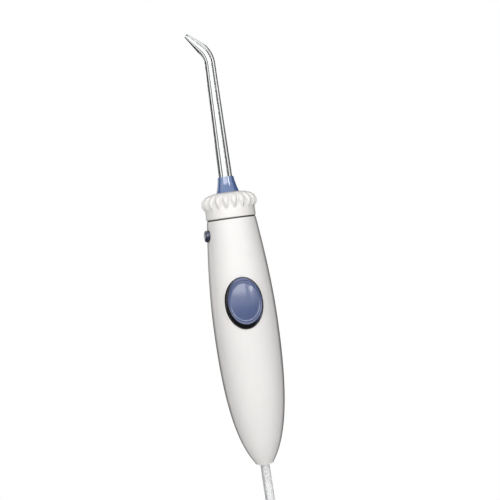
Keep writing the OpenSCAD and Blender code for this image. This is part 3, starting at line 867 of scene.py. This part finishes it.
# oval pause button
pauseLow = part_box("pause_button")[0]
pauseShape = {
    "faceRadius": 26 * mm,          # the face is bent across to this radius
    "inset": 0.9999,                # keeps the face just inside the button's front
    "lean": 2.5,                    # degrees that the face leans back at its top
    "columns": 112,
    "back": 11.8 * mm,              # how far the skirt's back lies in front of the handle's axis
    "skin": 2 * mm,
    "roof": 16 * mm,
    "postRadius": 2.4 * mm,
    "postEnd": 11.6 * mm,
    # distance in from the top or bottom edge and height above the face, over the rim and round the dome
    "rim": [(0, -1.55), (0.1, -1.1), (0.5, -0.72), (1.05, -0.33), (1.5, -0.06), (1.85, 0.05), (2.1, 0.0),
            (2.3, -0.22), (2.45, -0.42), (2.6, -0.48), (2.8, -0.42), (3.0, -0.2), (3.2, -0.04), (3.35, -0.02),
            (3.55, -0.14), (3.7, -0.22), (3.9, -0.22)],
    "sideShare": 0.65,              # the same distances at the sides
    "crestAt": 1.85,
    "crestShift": (0.4, 0.85),      # how far the rim's crest and the dome sit right of and above the middle
    "domeRise": 0.75,
    "domeRings": 9,
}


def skirtRing(scale, depth, shape, pivot):      # one more ring, parallel to the handle's axis, at this depth
    extrudeEdges((0, 0, 0))
    bpy.ops.transform.resize(value=(scale[0], 0, scale[1]), center_override=pivot)
    bpy.ops.transform.translate(value=(0, -depth + shape["back"], 0))


def makePauseButton():
    shape = pauseShape
    a = buttonShape["across"]
    b = buttonShape["along"]
    wide = shape["faceRadius"] * math.asin(a / shape["faceRadius"])
    front = -pauseLow.y * shape["inset"]
    deselect()
    bpy.ops.mesh.primitive_circle_add(vertices=shape["columns"], radius=1, rotation=(math.pi / 2, 0, 0))
    piece = rename("thumbButton")
    piece.scale = (wide, b, 1)
    applyPlace(piece)
    startEdit(piece)
    selectAll()
    bpy.ops.transform.translate(value=(0, -shape["rim"][0][1] * mm, 0))
    half = [wide, b]
    height = shape["rim"][0][1] * mm
    rings = [(wide - e * shape["sideShare"] * mm, b - e * mm, h * mm, min(1, e / shape["crestAt"]))
             for e, h in shape["rim"][1:]]
    domeWide, domeTall, domeBase, full = rings[-1]
    for i in range(1, shape["domeRings"] + 1):
        part = 1 - i / shape["domeRings"]
        share = max(part, 0.02)
        rise = domeBase + shape["domeRise"] * mm * (1 - part * part)
        rings.append((domeWide * share, domeTall * share, rise, full))
    offset = Vector((0, 0, 0))
    for x, z, h, share in rings:
        extrudeEdges((0, height - h, 0))
        bpy.ops.transform.resize(value=(x / half[0], 1, z / half[1]), center_override=offset)
        step = Vector((shape["crestShift"][0] * share * mm, 0, shape["crestShift"][1] * share * mm)) - offset
        bpy.ops.transform.translate(value=step)
        offset = offset + step
        half = [x, z]
        height = h
    bpy.ops.mesh.merge(type="COLLAPSE")
    endEdit()
    applyModifier(piece, "SIMPLE_DEFORM", deform_method="BEND", deform_axis="Z",
                  angle=2 * wide / shape["faceRadius"])
    piece.rotation_euler.x = -math.radians(shape["lean"])
    piece.location = (0, -front, buttonShape["height"])
    applyPlace(piece)
    startEdit(piece)
    bpy.ops.mesh.select_all(action="DESELECT")
    bpy.ops.mesh.select_non_manifold()
    pivot = (0, -shape["back"], buttonShape["height"])
    skinA = 1 - shape["skin"] / a
    skinB = 1 - shape["skin"] / b
    skirtRing((1, 1), shape["back"], shape, pivot)
    skirtRing((skinA, skinB), shape["back"], shape, pivot)
    extrudeEdges((0, shape["back"] - shape["roof"], 0))
    post = (shape["postRadius"] / (a * skinA), shape["postRadius"] / (b * skinB))
    extrudeEdges((0, 0, 0))
    bpy.ops.transform.resize(value=(post[0], 1, post[1]), center_override=pivot)
    extrudeEdges((0, shape["roof"] - shape["postEnd"], 0))
    bpy.ops.mesh.edge_face_add()
    endEdit()
    cleanUp(piece)
    smooth(piece, 60)
    hand(piece, "pause_button", "blue_button", buttonBlue, "pause_button")


makePauseButton()
print("pause button made")

# round eject button
ejectForm = {
    "wedgeEnd": 5.0,                # distances out from the handle's axis
    "stemEnd": 6.2,
    "flange": 10.4,
    "flangeTop": 11.4,
    "stemRadius": 1.5,
    "flangeRadius": 4.3,
    "face": 16.7,
    "flatAbove": 3.38,              # the flange is cut flat this far above the button's middle
}


def makeEjectButton():
    form = ejectForm
    r = ejectShape["radius"] / mm
    face = form["face"]
    outline = [(0, form["wedgeEnd"]), (0.8, form["wedgeEnd"]), (form["stemRadius"], form["stemEnd"]),
               (form["stemRadius"], form["flange"]), (form["flangeRadius"], form["flange"]),
               (form["flangeRadius"], form["flangeTop"]), (r, form["flangeTop"]), (r, face - 1.25),
               (r - 0.08, face - 0.85), (r - 0.3, face - 0.5), (r - 0.65, face - 0.25),
               (r - 1.05, face - 0.13), (r - 1.6, face - 0.06), (r - 2.4, face), (0, face + 0.02)]
    piece = turned("sideButton", [(x * mm, z * mm) for x, z in outline], 56)
    startEdit(piece)
    selectAll()
    bpy.ops.mesh.bisect(plane_co=(form["flatAbove"] * mm, 0, 0), plane_no=(1, 0, 0), clear_outer=True,
                        use_fill=True)
    endEdit()
    piece.rotation_euler = (0, -math.pi / 2, 0)
    applyPlace(piece)
    piece.rotation_euler = (0, 0, math.atan2(-ejectOut.y, -ejectOut.x))
    piece.location = (0, 0, ejectShape["height"])
    applyPlace(piece)
    smooth(piece, 40)
    hand(piece, "eject_button", "blue_button", buttonNavy, "eject_button")


makeEjectButton()
print("eject button made")

# tie round the folded hose
tieLow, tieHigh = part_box("hose_tie")
tieShape = {
    "thick": 0.95 * mm,
    "corner": 2.9 * mm,
    "overlap": 15 * mm,
}


def makeTie():
    shape = tieShape
    lowX, highX = tieLow.x + shape["thick"] * 1.1, tieHigh.x - shape["thick"] * 1.1
    lowY, highY = tieLow.y + shape["thick"] * 1.1, tieHigh.y - shape["thick"] * 1.1
    c = shape["corner"]
    path = [Vector((lowX + c + 7 * mm, lowY, 0))]
    for middle, first in (((highX - c, lowY + c), -90), ((highX - c, highY - c), 0),
                          ((lowX + c, highY - c), 90), ((lowX + c, lowY + c), 180)):
        for i in range(7):
            angle = math.radians(first + 15 * i)
            lift = 0
            if first == 180:
                lift = shape["thick"] * 1.05 * i / 6      # the flap rises on to the first layer
            path.append(Vector((middle[0] + (c + lift) * math.cos(angle),
                                middle[1] + (c + lift) * math.sin(angle), 0)))
    end = path[-1]
    for i in range(1, 7):
        path.append(Vector((end.x + (shape["overlap"] + 7 * mm) * i / 6, end.y, 0)))
    piece = drawLine("tieStrap", [point + Vector((0, 0, tieLow.z)) for point in path])
    extrudeEdges((0, 0, tieHigh.z - tieLow.z))
    endEdit()
    applyModifier(piece, "SOLIDIFY", thickness=shape["thick"], offset=1, use_even_offset=True)
    applyModifier(piece, "BEVEL", width=0.18 * mm, segments=2, limit_method="ANGLE",
                  angle_limit=math.radians(50))
    cleanUp(piece)
    smooth(piece, 40)
    hand(piece, "handle", "tie_strap", strapWeave, "hose_tie")
    return piece


tieStrap = makeTie()
print("tie made")

# hose connector
connectorShape = {
    "barrel": 4.6,
    "barrelBottom": -9,
    "barrelTop": 9,
    "hoseSeat": 2.62,
    "hollowBottom": -5.5,
    "facets": 64,
    "bore": 1.0,
    "flange": 5.6,
    "flangeStart": 3.0,
    "flangeEnd": 6.2,
    "shoulder": 7.6,
    "hub": 4.2,
    "neck": 2.7,
    "spigot": 3.0,
    "spigotRoot": 1.2,
    "spigotStart": 9.6,
    "spigotEnd": 20.6,
    "gripRibs": 24,
}


def makeConnector():
    shape = connectorShape
    x = hose["foldRadius"]
    y = hose["layer"] * hose["turns"] / 2
    z = hose["exit"].z + hose["tailEnd"]
    r = shape["barrel"]
    low = shape["barrelBottom"]
    high = shape["barrelTop"]
    seat = shape["hoseSeat"]
    bore = shape["bore"]
    hollow = shape["hollowBottom"]
    outline = [(seat, 0), (seat, high - 0.3), (seat + 0.3, high), (r - 0.4, high), (r, high - 0.4),
               (r, low + 1.6), (r - 0.25, low + 0.8), (r - 0.9, low + 0.2), (r - 1.8, low), (0, low),
               (0, hollow), (bore, hollow), (bore, 0), (seat, 0)]
    barrel = turned("hoseConnector", [(p * mm, q * mm) for p, q in outline], shape["facets"])
    barrel.location = (x, y, z)
    applyPlace(barrel)
    start = shape["spigotRoot"]
    hub = shape["hub"]
    flange = shape["flange"]
    flangeStart = shape["flangeStart"]
    flangeEnd = shape["flangeEnd"]
    shoulder = shape["shoulder"]
    tip = shape["spigotEnd"] - 0.01
    outline = [(bore, start), (hub, start), (hub, flangeStart), (flange - 0.3, flangeStart),
               (flange, flangeStart + 0.3), (flange, flangeEnd - 0.3), (flange - 0.3, flangeEnd),
               (hub, flangeEnd), (hub, shoulder - 0.2), (hub - 0.2, shoulder), (shape["neck"], shoulder),
               (shape["neck"], shape["spigotStart"]), (shape["spigot"], shape["spigotStart"]),
               (shape["spigot"], tip), (bore, tip), (bore, start)]
    spigot = turned("spigot", [(p * mm, q * mm) for p, q in outline], shape["facets"])
    spigot.rotation_euler = (0, math.pi / 2, 0)
    spigot.location = (x, y, z + shape["barrelBottom"] / 2 * mm)
    applyPlace(spigot)
    for i in range(shape["gripRibs"]):                       # finger grooves round the flange
        angle = 2 * math.pi * i / shape["gripRibs"]
        reach = (shape["flange"] + 0.25) * mm
        deselect()
        bpy.ops.mesh.primitive_cylinder_add(
            vertices=16, radius=0.6 * mm, depth=4 * mm, rotation=(0, math.pi / 2, 0),
            location=(x + 4.6 * mm, y + reach * math.cos(angle),
                      z + shape["barrelBottom"] / 2 * mm + reach * math.sin(angle)))
        groove = bpy.context.object
        applyPlace(groove)
        cut(spigot, groove)
    cut(barrel, spigot, "UNION")
    bevelCorners(barrel, 0.12 * mm)
    smooth(barrel, 35)
    hand(barrel, "handle", "white_collar", whiteCollar, "hose_connector")
    return barrel


hoseConnector = makeConnector()
print("connector made")

# pieces that keep their shape and take a finish
finishes = {
    "valve_body": naturalPlastic, "valve_cap": naturalPlastic, "pause_spring": springSteel,
    "socket_o_ring": sealRubber, "socket_retainer": naturalPlastic, "catch_carrier": naturalPlastic,
    "tip_catch": springSteel, "eject_spring": springSteel, "collar_washer": sealRubber,
    "inner_hose": hoseVinyl, "hose_clamp": springSteel, "hose_grommet": sealRubber,
    "tip_receiver": naturalPlastic, "neck_o_ring": sealRubber, "valve_spool": naturalPlastic,
    "spool_o_rings": sealRubber, "connector_ferrule": springSteel, "connector_o_ring": sealRubber,
}
for name, material in finishes.items():
    nodes[name].data.materials.clear()
    nodes[name].data.materials.append(material)
print("inner pieces finished")

# studio
studio = {
    "floorDrop": 60 * mm,           # the piece hangs clear of the floor, as if held in the hand
    "floorSize": 12,
    "shadowReach": (0.28, 0.5),     # out to here the floor shows the shadow, then it goes white
    "worldLight": 0.36,
    # direction round from the camera, height angle, distance, size and energy of each soft light
    "lights": {
        "keyLight": (38, 20, 0.9, (0.17, 0.42), 1.7),
        "broadLight": (-10, 20, 0.9, (0.90, 0.40), 3.9),
        "topLight": (8, 48, 0.9, (0.50, 0.06), 0.6),
        "fillLight": (-52, 8, 0.9, (0.6, 0.8), 0.5),
        "backLight": (178, 24, 0.9, (0.8, 0.6), 2.6),
    },
    # dark cards beyond the piece: from and to, in degrees round from straight behind it
    "cards": {"rightCard": (18, 95), "leftCard": (-95, -64)},
    "cardDistance": 0.42,
    "cardLow": -0.32,
    "cardHigh": 0.5,
    "cardSteps": 8,
    "cardColor": (0.02, 0.02, 0.02, 1),
    "cardRoughness": 0.9,
    "worldColor": (1.0, 0.985, 0.965, 1),
    "floorColor": (0.85, 0.85, 0.85, 1),
    "mirroredColor": (0.12, 0.12, 0.12, 1),     # what reflections see of the floor
    "whiteShare": (0.82, 1.0),      # how white the floor looks, near the piece and far from it
}
lookedAt = Vector((0, 0, cameraSettings["aim"][2]))


def aroundCamera(sideways, rise, distance):
    return lookedAt + distance * outward(cameraSettings["turn"] - sideways, rise)


def addSoftbox(name, sideways, rise, distance, size, energy):
    place = aroundCamera(sideways, rise, distance)
    bpy.ops.object.light_add(type="AREA", location=place)
    lamp = bpy.context.object
    lamp.name = name
    lamp.rotation_euler = (lookedAt - place).to_track_quat("-Z", "Y").to_euler()
    lamp.data.shape = "RECTANGLE"
    lamp.data.size = size[0]
    lamp.data.size_y = size[1]
    lamp.data.energy = energy
    lamp.visible_camera = False
    if name == "backLight":         # lights the back without showing in the clear tip or along the outline
        lamp.visible_glossy = False
        lamp.visible_transmission = False


def addCard(name, start, stop, paint):
    low = studio["cardLow"]
    steps = studio["cardSteps"]
    spots = [aroundCamera(180 - start - (stop - start) * i / steps, 0, studio["cardDistance"])
             for i in range(steps + 1)]
    card = drawLine(name, [(spot.x, spot.y, low) for spot in spots])
    extrudeEdges((0, 0, studio["cardHigh"] - low))
    endEdit()
    card.data.materials.append(paint)
    card.visible_camera = False


def makeCards():
    paint = bpy.data.materials.new("cardBlack")
    paint.use_nodes = True
    shader = paint.node_tree.nodes["Principled BSDF"]
    shader.inputs["Base Color"].default_value = studio["cardColor"]
    shader.inputs["Roughness"].default_value = studio["cardRoughness"]
    for name, (start, stop) in studio["cards"].items():
        addCard(name, start, stop, paint)


def seenDirectly(tree):             # 1 for what the camera sees, also through glass and in reflections
    path = tree.nodes.new("ShaderNodeLightPath")
    first = addOperation(tree, "Math", "MAXIMUM")
    second = addOperation(tree, "Math", "MAXIMUM")
    tree.links.new(path.outputs["Is Camera Ray"], first.inputs[0])
    tree.links.new(path.outputs["Is Glossy Ray"], first.inputs[1])
    tree.links.new(first.outputs["Value"], second.inputs[0])
    tree.links.new(path.outputs["Is Transmission Ray"], second.inputs[1])
    return second.outputs["Value"]


def makeWorld():
    world = bpy.data.worlds.new("studio")
    scene.world = world
    world.use_nodes = True
    tree = world.node_tree
    tree.nodes.clear()
    soft = tree.nodes.new("ShaderNodeBackground")
    soft.inputs["Color"].default_value = studio["worldColor"]
    soft.inputs["Strength"].default_value = studio["worldLight"]
    white = tree.nodes.new("ShaderNodeBackground")
    white.inputs["Color"].default_value = (1, 1, 1, 1)
    white.inputs["Strength"].default_value = 1.0
    both = tree.nodes.new("ShaderNodeMixShader")
    out = tree.nodes.new("ShaderNodeOutputWorld")
    tree.links.new(seenDirectly(tree), both.inputs["Fac"])
    tree.links.new(soft.outputs["Background"], both.inputs[1])
    tree.links.new(white.outputs["Background"], both.inputs[2])
    tree.links.new(both.outputs["Shader"], out.inputs["Surface"])


def makeFloor():
    deselect()
    bpy.ops.mesh.primitive_plane_add(size=studio["floorSize"],
                                     location=(0, 0, cadLow.z - studio["floorDrop"]))
    floor = rename("floor")
    paint = bpy.data.materials.new("paleFloor")
    paint.use_nodes = True
    tree = paint.node_tree
    tree.nodes.clear()
    add = tree.nodes.new
    link = tree.links.new
    path = add("ShaderNodeLightPath")
    matt = add("ShaderNodeBsdfDiffuse")
    matt.inputs["Color"].default_value = studio["floorColor"]
    dark = add("ShaderNodeBsdfDiffuse")
    dark.inputs["Color"].default_value = studio["mirroredColor"]
    mirrored = add("ShaderNodeMixShader")
    white = add("ShaderNodeEmission")
    white.inputs["Strength"].default_value = 1.0
    seen = addOperation(tree, "Math", "MAXIMUM")
    place = add("ShaderNodeTexCoord")
    reach = addOperation(tree, "VectorMath", "LENGTH")
    share = addSpan(tree, *studio["shadowReach"], *studio["whiteShare"])
    shown = addOperation(tree, "Math", "MULTIPLY")
    both = add("ShaderNodeMixShader")
    out = add("ShaderNodeOutputMaterial")
    link(path.outputs["Is Camera Ray"], seen.inputs[0])
    link(path.outputs["Is Transmission Ray"], seen.inputs[1])
    link(place.outputs["Object"], reach.inputs[0])
    link(reach.outputs["Value"], share.inputs["Value"])
    link(seen.outputs["Value"], shown.inputs[0])
    link(share.outputs["Result"], shown.inputs[1])
    link(path.outputs["Is Glossy Ray"], mirrored.inputs["Fac"])
    link(matt.outputs["BSDF"], mirrored.inputs[1])
    link(dark.outputs["BSDF"], mirrored.inputs[2])
    link(shown.outputs["Value"], both.inputs["Fac"])
    link(mirrored.outputs["Shader"], both.inputs[1])
    link(white.outputs["Emission"], both.inputs[2])
    link(both.outputs["Shader"], out.inputs["Surface"])
    floor.data.materials.append(paint)


makeWorld()
makeFloor()
makeCards()
for name, light in studio["lights"].items():
    addSoftbox(name, *light)
scene.view_settings.view_transform = "Standard"
print("studio lit")
